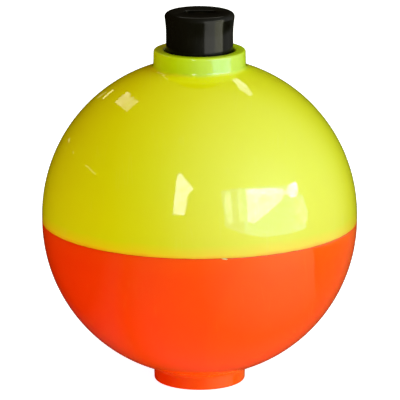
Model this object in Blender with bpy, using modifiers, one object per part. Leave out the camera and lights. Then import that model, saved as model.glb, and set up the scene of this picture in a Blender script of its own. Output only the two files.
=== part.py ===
"""Clip-on fishing float: a hollow two-colour ball with a sprung push button and a line hook.

Two moulded half shells lap at the seam and are cemented together there and at the core tube.
Inside the core tube a compression spring pushes the button up. A bent brass wire runs down the
axis: its upper hook lies in a pocket in the button's top, its lower hook lies in a recess under
the float, and it holds the button against the spring. The fishing line goes under either hook.

Units are metres, +Z is up along the float's axis, and the origin is the centre of the lower rim.
"""

import math

import bpy
from mathutils import Matrix

MM = 0.001

# Ball and collars
BALL_RADIUS = 19.05 * MM
WALL = 1.2 * MM
LOWER_CENTRE_Z = 20.08 * MM
SEAM_Z = LOWER_CENTRE_Z
UPPER_SKIRT = 0.54 * MM
UPPER_CENTRE_Z = SEAM_Z + UPPER_SKIRT
TOP_RIM_Z = 40.98 * MM
COLLAR_RADIUS = 5.575 * MM
COLLAR_RIM_RADIUS = 5.5 * MM
COLLAR_FILLET = 0.4 * MM
EDGE_ROUND = 0.18 * MM

# Lap joint at the seam, and the plugged joint of the core tube
SEAM_GAP = 0.05 * MM
LAP_GAP = 0.1 * MM
SPIGOT_RISE = 1.5 * MM
SPIGOT_WALL = 0.5 * MM
CEMENT_SPACE = 0.57 * MM
CEMENT_CLEARANCE = 0.06 * MM
CORE_BORE = 4.7 * MM
MOUTH_BORE = 4.25 * MM
MOUTH_LIP_Z = TOP_RIM_Z - 1.3 * MM
CORE_LEDGE_Z = 17.3 * MM
CORE_END_Z = 17.7 * MM
SOCKET_TOP_Z = 20.5 * MM
SOCKET_WALL = 0.85 * MM

# Lower tube, floor and recess
RECESS_DEPTH = 2.0 * MM
RECESS_MOUTH_RADIUS = 4.7 * MM
RECESS_ROOT_RADIUS = 4.6 * MM
FLOOR_THICKNESS = 1.2 * MM
FLOOR_TOP_Z = RECESS_DEPTH + FLOOR_THICKNESS
LOWER_TUBE_BORE = 3.3 * MM
LOWER_TUBE_RADIUS = 4.2 * MM
FLARE_RISE = 2.4 * MM
BOSS_RADIUS = 2.1 * MM
BOSS_HEIGHT = 1.2 * MM

# Push button
BUTTON_TOP_Z = 45.54 * MM
BUTTON_FLAT_RADIUS = 3.5 * MM
BUTTON_LIP_RADIUS = 4.2 * MM
BUTTON_SHOULDER_DROP = 0.54 * MM
BUTTON_STEM_RADIUS = 4.03 * MM
BUTTON_WAIST_DROP = 1.1 * MM
SKIRT_RADIUS = 4.55 * MM
SKIRT_TOP_Z = 38.0 * MM
SKIRT_END_Z = 30.5 * MM
BUTTON_BORE = 3.1 * MM
BUTTON_CEILING_Z = 42.54 * MM
POCKET_DEPTH = 1.5 * MM
POCKET_HALF_LENGTH = 1.95 * MM
POCKET_HALF_WIDTH = 0.85 * MM

# Line hook of brass wire
WIRE_DIAMETER = 0.9 * MM
WIRE_OFFSET = 1.1 * MM
WIRE_BEND = 0.85 * MM
WIRE_LOW_Z = 0.9 * MM
WIRE_HIGH_Z = 45.14 * MM
WIRE_TIP = 1.9 * MM
WIRE_HOLE_RADIUS = 0.65 * MM

# Return spring
SPRING_RADIUS = 2.525 * MM
SPRING_WIRE = 0.55 * MM
SPRING_REST_GAP = 0.1 * MM
SPRING_CLOSED_PITCH = 0.62 * MM
SPRING_ACTIVE_TURNS = 16
SPRING_END_TURNS = 1
SPRING_POINTS_PER_TURN = 10

# Fineness of the round shapes
SHELL_STEPS = 40
BUTTON_STEPS = 36
BALL_ARC_STEPS = 10
EDGE_ARC_STEPS = 3
BEND_ARC_STEPS = 6
HOLE_SIDES = 20
MERGE_DISTANCE = 0.005 * MM


def collection(name):
    """A new collection linked to the scene."""
    made = bpy.data.collections.new(name)
    bpy.context.scene.collection.children.link(made)
    return made


def material(name, colour, roughness, metallic=0.0, transmission=0.0):
    """A Principled material."""
    made = bpy.data.materials.new(name)
    made.use_nodes = True
    shader = made.node_tree.nodes["Principled BSDF"]
    shader.inputs["Base Color"].default_value = (*colour, 1.0)
    shader.inputs["Roughness"].default_value = roughness
    shader.inputs["Metallic"].default_value = metallic
    shader.inputs["Transmission Weight"].default_value = transmission
    return made


def arc(centre, radii, start_degrees, end_degrees, steps):
    """Points along an elliptical arc, as outline corners with no rounding of their own."""
    points = []
    for step in range(steps + 1):
        angle = math.radians(start_degrees + (end_degrees - start_degrees) * step / steps)
        across = centre[0] + radii[0] * math.cos(angle)
        up = centre[1] + radii[1] * math.sin(angle)
        points.append((across, up, 0.0))
    return points


def ball_arc(centre_z, radius, start_degrees, end_degrees):
    """A stretch of the ball's round outline."""
    return arc((0.0, centre_z), (radius, radius), start_degrees, end_degrees, BALL_ARC_STEPS)


def angle_where(across, radius):
    """The angle above the horizontal, in degrees, where a ball is this far from its axis."""
    return math.degrees(math.acos(across / radius))


def rounded(corners, steps=EDGE_ARC_STEPS):
    """Plain points from (across, up, rounding radius) corners; the two ends are kept sharp."""
    points = [corners[0][:2]]
    for before, corner, after in zip(corners, corners[1:], corners[2:]):
        if corner[2] == 0.0:
            points.append(corner[:2])
            continue
        points += corner_arc(before, corner, after, steps)
    points.append(corners[-1][:2])
    return points


def corner_arc(before, corner, after, steps):
    """The arc that rounds one corner."""
    across, up, radius = corner
    to_before = unit(before[0] - across, before[1] - up)
    to_after = unit(after[0] - across, after[1] - up)
    half = math.acos(to_before[0] * to_after[0] + to_before[1] * to_after[1]) / 2
    bisector = unit(to_before[0] + to_after[0], to_before[1] + to_after[1])
    reach = radius / math.sin(half)
    centre = (across + bisector[0] * reach, up + bisector[1] * reach)
    back = radius / math.tan(half)
    first = (across + to_before[0] * back, up + to_before[1] * back)
    last = (across + to_after[0] * back, up + to_after[1] * back)
    start = math.atan2(first[1] - centre[1], first[0] - centre[0])
    turn = math.atan2(last[1] - centre[1], last[0] - centre[0]) - start
    turn = (turn + math.pi) % (2 * math.pi) - math.pi
    points = []
    for step in range(steps + 1):
        angle = start + turn * step / steps
        points.append((centre[0] + radius * math.cos(angle), centre[1] + radius * math.sin(angle)))
    return points


def unit(across, up):
    """The direction of a step, with length 1."""
    length = math.hypot(across, up)
    return across / length, up / length


def turned(name, outline, finish, parent, steps=SHELL_STEPS, closed=False):
    """A part turned about the parent's vertical axis. The outline runs down its outer side."""
    base_z = parent.matrix_world.translation.z
    vertices = [(across, 0.0, up - base_z) for across, up in outline]
    edges = [(index, index + 1) for index in range(len(vertices) - 1)]
    if closed:
        edges.append((len(vertices) - 1, 0))
    mesh = bpy.data.meshes.new(name)
    mesh.from_pydata(vertices, edges, [])
    part = bpy.data.objects.new(name, mesh)
    FLOAT.objects.link(part)
    part.parent = parent
    part.data.materials.append(finish)
    screw = part.modifiers.new("Turn", "SCREW")
    screw.axis = "Z"
    screw.steps = steps
    screw.render_steps = steps
    screw.use_merge_vertices = True
    screw.merge_threshold = MERGE_DISTANCE
    screw.use_smooth_shade = True
    return part


def wire_part(name, points, diameter, finish, parent):
    """A part made of round wire that follows the points, with flat ends."""
    curve = bpy.data.curves.new(name, "CURVE")
    curve.dimensions = "3D"
    curve.bevel_depth = diameter / 2
    curve.bevel_resolution = 2
    curve.use_fill_caps = True
    spline = curve.splines.new("POLY")
    spline.points.add(len(points) - 1)
    base_z = parent.matrix_world.translation.z
    for point, place in zip(spline.points, points):
        point.co = (place[0], place[1], place[2] - base_z, 1.0)
    part = bpy.data.objects.new(name, curve)
    FLOAT.objects.link(part)
    part.parent = parent
    part.data.materials.append(finish)
    return part


def drill(part, name, across, low_z, high_z, radius, stretch=0.0):
    """Cut a vertical round hole, or an obround one when its sides are stretched apart along X."""
    bpy.ops.mesh.primitive_cylinder_add(vertices=HOLE_SIDES, radius=radius, depth=high_z - low_z)
    cutter = bpy.context.object
    cutter.name = name
    cutter.data.transform(Matrix.Rotation(math.pi / HOLE_SIDES, 4, "Z"))
    for vertex in cutter.data.vertices:
        vertex.co.x += math.copysign(stretch, vertex.co.x)
    cutter.location = (across, 0.0, (low_z + high_z) / 2)
    for owner in list(cutter.users_collection):
        owner.objects.unlink(cutter)
    CUTTERS.objects.link(cutter)
    cutter.hide_render = True
    cutter.display_type = "WIRE"
    cut = part.modifiers.new(name, "BOOLEAN")
    cut.operation = "DIFFERENCE"
    cut.solver = "EXACT"
    cut.object = cutter


def axis_empty(name, height, parent=None):
    """An empty on the float's axis that carries what moves together."""
    empty = bpy.data.objects.new(name, None)
    empty.empty_display_size = BALL_RADIUS / 4
    FLOAT.objects.link(empty)
    empty.location.z = height
    if parent:
        empty.parent = parent
        empty.matrix_parent_inverse = parent.matrix_world.inverted()
    bpy.context.view_layer.update()
    return empty


def upper_shell(parent):
    """Yellow half: collar with a lip at its mouth, dome, short skirt over the lap, and core tube."""
    lap_radius = BALL_RADIUS - WALL + SPIGOT_WALL + LAP_GAP
    inner_radius = BALL_RADIUS - WALL
    rebate_z = SEAM_Z + SPIGOT_RISE + CEMENT_SPACE
    rebate_angle = math.degrees(math.asin((rebate_z - UPPER_CENTRE_Z) / inner_radius))
    dome = ball_arc(UPPER_CENTRE_Z, BALL_RADIUS, angle_where(COLLAR_RADIUS, BALL_RADIUS), 0.0)
    hollow_end = angle_where(COLLAR_RADIUS, inner_radius)
    hollow = ball_arc(UPPER_CENTRE_Z, inner_radius, rebate_angle, hollow_end)
    first = dome.pop(0)
    corners = [
        (CORE_BORE, CORE_END_Z, 0.0),
        (CORE_BORE, MOUTH_LIP_Z, 0.0),
        (MOUTH_BORE, MOUTH_LIP_Z, 0.0),
        (MOUTH_BORE, TOP_RIM_Z, EDGE_ROUND),
        (COLLAR_RIM_RADIUS, TOP_RIM_Z, EDGE_ROUND),
        (COLLAR_RADIUS, TOP_RIM_Z - 2 * EDGE_ROUND, 0.0),
        (first[0], first[1], COLLAR_FILLET),
        *dome,
        (BALL_RADIUS, SEAM_Z + SEAM_GAP, 0.0),
        (lap_radius, SEAM_Z + SEAM_GAP, 0.0),
        (lap_radius, rebate_z, 0.0),
        *hollow,
        (COLLAR_RADIUS, CORE_END_Z, 0.0),
    ]
    return turned("upper_shell", rounded(corners), YELLOW, parent, closed=True)


def lower_shell(parent):
    """Orange half: spigot, bowl, collar, recessed floor with its boss, tube and core socket."""
    inner_radius = BALL_RADIUS - WALL
    spigot_radius = inner_radius + SPIGOT_WALL
    spigot_top = SEAM_Z + SPIGOT_RISE
    socket_bore = COLLAR_RADIUS + LAP_GAP
    socket_radius = socket_bore + SOCKET_WALL
    boss_top = FLOOR_TOP_Z + BOSS_HEIGHT
    hollow = ball_arc(LOWER_CENTRE_Z, inner_radius, -angle_where(LOWER_TUBE_RADIUS, inner_radius), 0.0)
    bowl = ball_arc(LOWER_CENTRE_Z, BALL_RADIUS, 0.0, -angle_where(COLLAR_RADIUS, BALL_RADIUS))
    last = bowl.pop()
    corners = [
        (0.0, boss_top, 0.0),
        (BOSS_RADIUS, boss_top, EDGE_ROUND),
        (BOSS_RADIUS, FLOOR_TOP_Z, 0.0),
        (LOWER_TUBE_BORE, FLOOR_TOP_Z, 0.0),
        (LOWER_TUBE_BORE, CORE_LEDGE_Z, 0.0),
        (socket_bore, CORE_LEDGE_Z, 0.0),
        (socket_bore, SOCKET_TOP_Z, 0.0),
        (socket_radius, SOCKET_TOP_Z, 0.0),
        (socket_radius, CORE_LEDGE_Z, 0.0),
        (LOWER_TUBE_RADIUS, CORE_LEDGE_Z - FLARE_RISE, 0.0),
        *hollow,
        (inner_radius, spigot_top, 0.0),
        (spigot_radius, spigot_top, 0.0),
        (spigot_radius, SEAM_Z, 0.0),
        *bowl,
        (last[0], last[1], COLLAR_FILLET),
        (COLLAR_RIM_RADIUS, 0.0, EDGE_ROUND),
        (RECESS_MOUTH_RADIUS, 0.0, EDGE_ROUND),
        (RECESS_ROOT_RADIUS, RECESS_DEPTH, 0.0),
        (0.0, RECESS_DEPTH, 0.0),
    ]
    shell = turned("lower_shell", rounded(corners), ORANGE, parent)
    for side in (-1, 1):
        name = f"floor_hole_cutter_{'left' if side < 0 else 'right'}"
        drill(shell, name, side * WIRE_OFFSET, RECESS_DEPTH - MM, boss_top + MM, WIRE_HOLE_RADIUS)
    return shell


def cement_ring(name, inner_radius, outer_radius, low_z, high_z, parent):
    """A bead of cement that closes a joint between the two shells all the way round."""
    corners = [
        (inner_radius, low_z),
        (inner_radius, high_z),
        (outer_radius, high_z),
        (outer_radius, low_z),
    ]
    return turned(name, corners, CEMENT, parent, closed=True)


def push_button(parent):
    """Black button: flat top on a rounded lip, plain stem, wide guide skirt and a spring bore."""
    lip_z = BUTTON_TOP_Z - BUTTON_SHOULDER_DROP
    shoulder_width = BUTTON_LIP_RADIUS - BUTTON_FLAT_RADIUS
    shoulder = arc(
        (BUTTON_FLAT_RADIUS, lip_z), (shoulder_width, BUTTON_SHOULDER_DROP), 90.0, 0.0, EDGE_ARC_STEPS + 1
    )
    corners = [
        (0.0, BUTTON_TOP_Z, 0.0),
        *shoulder,
        (BUTTON_STEM_RADIUS, BUTTON_TOP_Z - BUTTON_WAIST_DROP, 0.0),
        (BUTTON_STEM_RADIUS, SKIRT_TOP_Z + EDGE_ROUND, 0.0),
        (SKIRT_RADIUS, SKIRT_TOP_Z - EDGE_ROUND, 0.0),
        (SKIRT_RADIUS, SKIRT_END_Z, EDGE_ROUND),
        (BUTTON_BORE, SKIRT_END_Z, EDGE_ROUND),
        (BUTTON_BORE, BUTTON_CEILING_Z, 0.0),
        (0.0, BUTTON_CEILING_Z, 0.0),
    ]
    button = turned("push_button", rounded(corners), BLACK, parent, steps=BUTTON_STEPS)
    pocket_floor = BUTTON_TOP_Z - POCKET_DEPTH
    stretch = POCKET_HALF_LENGTH - POCKET_HALF_WIDTH
    drill(button, "pocket_cutter", 0.0, pocket_floor, BUTTON_TOP_Z + MM, POCKET_HALF_WIDTH, stretch)
    for side in (-1, 1):
        name = f"button_hole_cutter_{'left' if side < 0 else 'right'}"
        low_z = BUTTON_CEILING_Z - MM
        drill(button, name, side * WIRE_OFFSET, low_z, pocket_floor + MM / 2, WIRE_HOLE_RADIUS)
    return button


def hook_wire(parent):
    """Brass wire: straight shank on one side, squared hook at each end, tips back in their holes."""
    low = WIRE_LOW_Z + WIRE_DIAMETER / 2
    high = WIRE_HIGH_Z - WIRE_DIAMETER / 2
    corners = [
        (WIRE_OFFSET, low + WIRE_TIP, 0.0),
        (WIRE_OFFSET, low, WIRE_BEND),
        (-WIRE_OFFSET, low, WIRE_BEND),
        (-WIRE_OFFSET, high, WIRE_BEND),
        (WIRE_OFFSET, high, WIRE_BEND),
        (WIRE_OFFSET, high - WIRE_TIP, 0.0),
    ]
    points = [(across, 0.0, up) for across, up in rounded(corners, BEND_ARC_STEPS)]
    return wire_part("hook_wire", points, WIRE_DIAMETER, BRASS, parent)


def spring_height(turn, total_turns, low_z, high_z):
    """Height of the spring's wire after so many turns: closed at both ends, even in between."""
    end_rise = SPRING_CLOSED_PITCH * SPRING_END_TURNS
    if turn <= SPRING_END_TURNS:
        return low_z + SPRING_CLOSED_PITCH * turn
    if turn >= total_turns - SPRING_END_TURNS:
        return high_z - SPRING_CLOSED_PITCH * (total_turns - turn)
    active_pitch = (high_z - low_z - 2 * end_rise) / SPRING_ACTIVE_TURNS
    return low_z + end_rise + active_pitch * (turn - SPRING_END_TURNS)


def return_spring(parent):
    """Steel compression spring from the floor's boss to the ceiling of the button's bore."""
    total_turns = SPRING_ACTIVE_TURNS + 2 * SPRING_END_TURNS
    low_z = FLOOR_TOP_Z + SPRING_REST_GAP + SPRING_WIRE / 2
    high_z = BUTTON_CEILING_Z - SPRING_REST_GAP - SPRING_WIRE / 2
    points = []
    for index in range(total_turns * SPRING_POINTS_PER_TURN + 1):
        turn = index / SPRING_POINTS_PER_TURN
        angle = 2 * math.pi * turn
        across = SPRING_RADIUS * math.cos(angle)
        along = SPRING_RADIUS * math.sin(angle)
        points.append((across, along, spring_height(turn, total_turns, low_z, high_z)))
    return wire_part("return_spring", points, SPRING_WIRE, STEEL, parent)


def seam_cement(parent):
    """The bead at the root of the lap joint, between the spigot and the upper shell."""
    inner_radius = BALL_RADIUS - WALL + CEMENT_CLEARANCE
    outer_radius = BALL_RADIUS - WALL + SPIGOT_WALL + LAP_GAP - CEMENT_CLEARANCE
    low_z = SEAM_Z + SPIGOT_RISE + CEMENT_CLEARANCE
    high_z = SEAM_Z + SPIGOT_RISE + CEMENT_SPACE - CEMENT_CLEARANCE
    return cement_ring("seam_cement", inner_radius, outer_radius, low_z, high_z, parent)


def core_cement(parent):
    """The bead under the end of the core tube, in the socket of the lower shell."""
    inner_radius = CORE_BORE + CEMENT_CLEARANCE
    outer_radius = COLLAR_RADIUS
    low_z = CORE_LEDGE_Z + CEMENT_CLEARANCE
    high_z = CORE_END_Z - CEMENT_CLEARANCE
    return cement_ring("core_cement", inner_radius, outer_radius, low_z, high_z, parent)


for old in list(bpy.data.objects):
    bpy.data.objects.remove(old, do_unlink=True)

FLOAT = collection("bobber_float")
CUTTERS = collection("cutters")

YELLOW = material("yellow_plastic", (0.78, 0.82, 0.03), 0.22, transmission=0.15)
ORANGE = material("orange_plastic", (0.95, 0.06, 0.005), 0.22)
BLACK = material("black_plastic", (0.012, 0.012, 0.011), 0.35)
BRASS = material("brass_wire", (0.80, 0.58, 0.25), 0.28, metallic=1.0)
STEEL = material("spring_steel", (0.55, 0.56, 0.58), 0.32, metallic=1.0)
CEMENT = material("clear_cement", (0.85, 0.80, 0.62), 0.3, transmission=0.3)

float_axis = axis_empty("float_axis", 0.0)
press_slide = axis_empty("press_slide", WIRE_LOW_Z, float_axis)
sleeve_slide = axis_empty("sleeve_slide", BUTTON_TOP_Z, press_slide)

upper_shell(float_axis)
lower_shell(float_axis)
seam_cement(float_axis)
core_cement(float_axis)
return_spring(float_axis)
hook_wire(press_slide)
push_button(sleeve_slide)
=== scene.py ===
import math

import bmesh
import bpy
from mathutils import Matrix, Vector, noise


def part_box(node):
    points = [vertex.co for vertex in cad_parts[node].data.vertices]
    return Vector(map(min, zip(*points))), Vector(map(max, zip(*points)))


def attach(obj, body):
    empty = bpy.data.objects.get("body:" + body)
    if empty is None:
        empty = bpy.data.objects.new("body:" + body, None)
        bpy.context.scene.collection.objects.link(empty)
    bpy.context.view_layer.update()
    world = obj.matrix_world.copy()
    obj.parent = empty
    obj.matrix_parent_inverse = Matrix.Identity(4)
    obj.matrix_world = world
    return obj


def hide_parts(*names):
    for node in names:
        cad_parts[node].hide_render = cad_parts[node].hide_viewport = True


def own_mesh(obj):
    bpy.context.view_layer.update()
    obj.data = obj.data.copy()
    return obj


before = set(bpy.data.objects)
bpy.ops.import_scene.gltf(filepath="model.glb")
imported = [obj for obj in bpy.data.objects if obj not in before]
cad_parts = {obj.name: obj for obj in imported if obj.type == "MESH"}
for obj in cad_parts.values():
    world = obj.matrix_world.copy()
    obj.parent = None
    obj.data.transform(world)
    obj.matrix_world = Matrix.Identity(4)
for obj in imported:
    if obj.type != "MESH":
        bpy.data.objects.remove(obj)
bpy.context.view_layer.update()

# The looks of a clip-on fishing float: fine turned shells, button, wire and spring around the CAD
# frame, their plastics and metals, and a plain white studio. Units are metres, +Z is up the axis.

MM = 0.001

# Sizes that the frame gives
UPPER_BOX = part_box("upper_shell")
LOWER_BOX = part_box("lower_shell")
BUTTON_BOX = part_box("push_button")
WIRE_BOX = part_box("hook_wire")
SPRING_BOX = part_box("return_spring")
SEAM_BEAD_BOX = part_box("seam_cement")
CORE_BEAD_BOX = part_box("core_cement")

BALL_RADIUS = LOWER_BOX[1].x
TOP_RIM_Z = UPPER_BOX[1].z
CORE_END_Z = UPPER_BOX[0].z
SPIGOT_TOP_Z = LOWER_BOX[1].z
BUTTON_TOP_Z = BUTTON_BOX[1].z
SKIRT_END_Z = BUTTON_BOX[0].z
SKIRT_RADIUS = BUTTON_BOX[1].x
COLLAR_RADIUS = CORE_BEAD_BOX[1].x

# Ball and collars
WALL = 1.2 * MM
SPIGOT_RISE = 1.5 * MM
SPIGOT_WALL = 0.5 * MM
SEAM_Z = SPIGOT_TOP_Z - SPIGOT_RISE
SEAM_GAP = 0.04 * MM
UPPER_SKIRT = 0.54 * MM
UPPER_CENTRE_Z = SEAM_Z + UPPER_SKIRT
COLLAR_RIM_RADIUS = 5.52 * MM
UPPER_COLLAR_FILLET = 0.55 * MM
LOWER_COLLAR_FILLET = 0.85 * MM
RIM_ROUND = 0.26 * MM
SEAM_ROUND = 0.015 * MM
SEAM_EDGE = 3 * SEAM_ROUND
EDGE_ROUND = 0.15 * MM
LAP_GAP = 0.1 * MM
CEMENT_SPACE = 0.57 * MM
CORE_BORE = 4.7 * MM
MOUTH_BORE = 4.25 * MM
MOUTH_LIP_Z = TOP_RIM_Z - 1.3 * MM
CORE_LEDGE_Z = CORE_END_Z - 0.4 * MM
SOCKET_TOP_Z = 20.5 * MM
SOCKET_WALL = 0.85 * MM

# Lower tube, floor and recess
RECESS_DEPTH = 2.0 * MM
RECESS_ROOT_RADIUS = 4.6 * MM
FLOOR_TOP_Z = 3.2 * MM
LOWER_TUBE_BORE = 3.3 * MM
LOWER_TUBE_RADIUS = 4.2 * MM
FLARE_RISE = 2.4 * MM
BOSS_RADIUS = 2.1 * MM
BOSS_TOP_Z = 4.4 * MM

# Seam flash, as (reach, height) on each shell's edge, then cement and its smear, in degrees right of
# the front
FLASH_UPPER = (0.3 * MM, 0.035 * MM)
FLASH_LOWER = (0.25 * MM, 0.02 * MM)
FLASH_DEPTH = 0.3 * MM
SEAM_BEAD_THICKNESS = 0.48 * MM
CORE_BEAD_THICKNESS = 0.8 * MM
BEAD_WAVE = 0.03 * MM
SMEAR_AZIMUTH = 8.8
SMEAR_SINK = 0.02 * MM
SMEAR_SLOPE = 0.06 * MM

# Push button
BUTTON_FLAT_RADIUS = 3.5 * MM
BUTTON_LIP_RADIUS = 4.2 * MM
BUTTON_SHOULDER_DROP = 0.54 * MM
BUTTON_STEM_RADIUS = 4.03 * MM
BUTTON_WAIST_DROP = 2.0 * MM
BUTTON_WAIST_ROUND = 12.0 * MM
SKIRT_TOP_Z = 38.0 * MM
BUTTON_BORE = 3.1 * MM
BUTTON_CEILING_Z = 42.54 * MM
POCKET_DEPTH = 1.5 * MM
POCKET_HALF_LENGTH = 1.95 * MM
POCKET_HALF_WIDTH = 0.85 * MM
POCKET_ROUND = 0.06 * MM

# Wire and spring
WIRE_RADIUS = WIRE_BOX[1].y
WIRE_OFFSET = WIRE_BOX[1].x - WIRE_RADIUS
WIRE_BEND = 0.85 * MM
WIRE_TIP = 1.9 * MM
TIP_ROUND_SHARE = 0.35
WIRE_HOLE_RADIUS = 0.65 * MM
SPRING_WIRE_RADIUS = 0.275 * MM
SPRING_RADIUS = SPRING_BOX[1].x - SPRING_WIRE_RADIUS
SPRING_ACTIVE_TURNS = 16
SPRING_CLOSED_PITCH = 0.62 * MM

# Fineness
TURN_STEPS = 192
BALL_STEPS = 72
EDGE_STEPS = 5
BEND_STEPS = 12
HOLE_SIDES = 48
WIRE_SIDES = 28
SPRING_SIDES = 12
SPRING_POINTS_PER_TURN = 28
SMOOTH_ANGLE = math.radians(32)

# View: the camera has no side turn, and looks down at this angle. Its aim is right of and above the
# ball's centre, as shares of the ball's radius.
CAMERA_ELEVATION = 14.24
CAMERA_DISTANCE = 24 * BALL_RADIUS
CAMERA_CLIP = CAMERA_DISTANCE / 20
CAMERA_AIM = (0.0026, 0.1056)
CAMERA_LENS = 340.5
SENSOR_WIDTH = 36.0


# ---------------------------------------------------------------- outlines

def arc(centre, radii, start_degrees, end_degrees, steps):
    """Corners along an elliptical arc, with no rounding of their own."""
    points = []
    for step in range(steps + 1):
        angle = math.radians(start_degrees + (end_degrees - start_degrees) * step / steps)
        across = centre[0] + radii[0] * math.cos(angle)
        up = centre[1] + radii[1] * math.sin(angle)
        points.append((across, up, 0.0))
    return points


def ball_arc(centre_z, radius, start_degrees, end_degrees):
    """A stretch of the ball's round outline."""
    return arc((0.0, centre_z), (radius, radius), start_degrees, end_degrees, BALL_STEPS)


def angle_where(across, radius):
    """The angle above the horizontal, in degrees, where a ball is this far from its axis."""
    return math.degrees(math.acos(across / radius))


def unit(across, up):
    """The direction of a step, with length 1."""
    length = math.hypot(across, up)
    return across / length, up / length


def corner_arc(before, corner, after, steps):
    """The arc that rounds one corner."""
    across, up, radius = corner
    to_before = unit(before[0] - across, before[1] - up)
    to_after = unit(after[0] - across, after[1] - up)
    half = math.acos(to_before[0] * to_after[0] + to_before[1] * to_after[1]) / 2
    bisector = unit(to_before[0] + to_after[0], to_before[1] + to_after[1])
    reach = radius / math.sin(half)
    centre = (across + bisector[0] * reach, up + bisector[1] * reach)
    back = radius / math.tan(half)
    first = (across + to_before[0] * back, up + to_before[1] * back)
    last = (across + to_after[0] * back, up + to_after[1] * back)
    start = math.atan2(first[1] - centre[1], first[0] - centre[0])
    turn = math.atan2(last[1] - centre[1], last[0] - centre[0]) - start
    turn = (turn + math.pi) % (2 * math.pi) - math.pi
    points = []
    for step in range(steps + 1):
        angle = start + turn * step / steps
        points.append((centre[0] + radius * math.cos(angle), centre[1] + radius * math.sin(angle)))
    return points


def rounded(corners, steps=EDGE_STEPS):
    """Plain points from (across, up, rounding radius) corners; the two ends are kept sharp."""
    points = [corners[0][:2]]
    for before, corner, after in zip(corners, corners[1:], corners[2:]):
        if corner[2] == 0.0:
            points.append(corner[:2])
            continue
        points += corner_arc(before, corner, after, steps)
    points.append(corners[-1][:2])
    return points


# ---------------------------------------------------------------- meshes

def add_object(name, mesh, finish):
    """A new object for a mesh, with its material."""
    mesh.materials.append(finish)
    made = bpy.data.objects.new(name, mesh)
    bpy.context.scene.collection.objects.link(made)
    return made


def smooth(mesh):
    """Smooth shading that keeps the real corners sharp."""
    mesh.shade_smooth()
    mesh.set_sharp_from_angle(angle=SMOOTH_ANGLE)


def turned(name, outline, finish, closed=False):
    """A solid turned about the axis. An open outline starts and ends on the axis."""
    work = bmesh.new()
    rings = []
    for across, up in outline:
        if across < 1e-9:
            rings.append([work.verts.new((0.0, 0.0, up))])
            continue
        ring = []
        for step in range(TURN_STEPS):
            angle = 2 * math.pi * step / TURN_STEPS
            ring.append(work.verts.new((across * math.cos(angle), across * math.sin(angle), up)))
        rings.append(ring)
    pairs = list(zip(rings, rings[1:]))
    if closed:
        pairs.append((rings[-1], rings[0]))
    for upper, lower in pairs:
        for step in range(TURN_STEPS):
            corners = []
            for ring, place in ((upper, step), (lower, step), (lower, step + 1), (upper, step + 1)):
                vertex = ring[place % len(ring)]
                if vertex not in corners:
                    corners.append(vertex)
            if len(corners) > 2:
                work.faces.new(corners)
    mesh = bpy.data.meshes.new(name)
    work.to_mesh(mesh)
    work.free()
    smooth(mesh)
    return add_object(name, mesh, finish)


def lofted(name, rings):
    """A closed solid through equal rings of points, lowest ring first, with flat ends."""
    work = bmesh.new()
    made = [[work.verts.new(point) for point in ring] for ring in rings]
    count = len(rings[0])
    for lower, upper in zip(made, made[1:]):
        for step in range(count):
            after = (step + 1) % count
            work.faces.new((lower[step], lower[after], upper[after], upper[step]))
    work.faces.new(list(reversed(made[0])))
    work.faces.new(made[-1])
    bmesh.ops.recalc_face_normals(work, faces=work.faces[:])
    mesh = bpy.data.meshes.new(name)
    work.to_mesh(mesh)
    work.free()
    made_object = bpy.data.objects.new(name, mesh)
    bpy.context.scene.collection.objects.link(made_object)
    return made_object


def obround_ring(centre_x, half_length, half_width, height, swell):
    """Points round an obround along X, pushed outwards by the swell."""
    stretch = half_length - half_width
    ring = []
    for step in range(HOLE_SIDES):
        angle = 2 * math.pi * (step + 0.5) / HOLE_SIDES
        across = (half_width + swell) * math.cos(angle) + math.copysign(stretch, math.cos(angle))
        along = (half_width + swell) * math.sin(angle)
        ring.append((centre_x + across, along, height))
    return ring


def drill(
    part, centre_x, half_length, half_width, low_z, high_z, low_open, high_open, edge=EDGE_ROUND
):
    """Cut an obround or round hole whose open mouths have softly rounded edges."""
    rings = []
    for step in range(EDGE_STEPS + 1):
        drop = edge * math.sin(math.pi / 2 * step / EDGE_STEPS)
        swell = edge - math.sqrt(max(0.0, edge ** 2 - (edge - drop) ** 2))
        rings.append((drop, swell))
    levels = []
    if low_open:
        levels.append((low_z - edge, edge))
        levels += [(low_z + drop, swell) for drop, swell in rings]
    else:
        levels.append((low_z, 0.0))
    if high_open:
        levels += [(high_z - drop, swell) for drop, swell in reversed(rings)]
        levels.append((high_z + edge, edge))
    else:
        levels.append((high_z, 0.0))
    loops = [obround_ring(centre_x, half_length, half_width, z, swell) for z, swell in levels]
    cutter = lofted("cutter", loops)
    cut = part.modifiers.new("cut", "BOOLEAN")
    cut.operation = "DIFFERENCE"
    cut.solver = "EXACT"
    cut.object = cutter
    apply_modifiers(part)
    bpy.data.objects.remove(cutter, do_unlink=True)


def apply_modifiers(part):
    """Make the evaluated shape the mesh itself."""
    graph = bpy.context.evaluated_depsgraph_get()
    mesh = bpy.data.meshes.new_from_object(part.evaluated_get(graph))
    part.modifiers.clear()
    part.data = mesh
    smooth(mesh)


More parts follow.
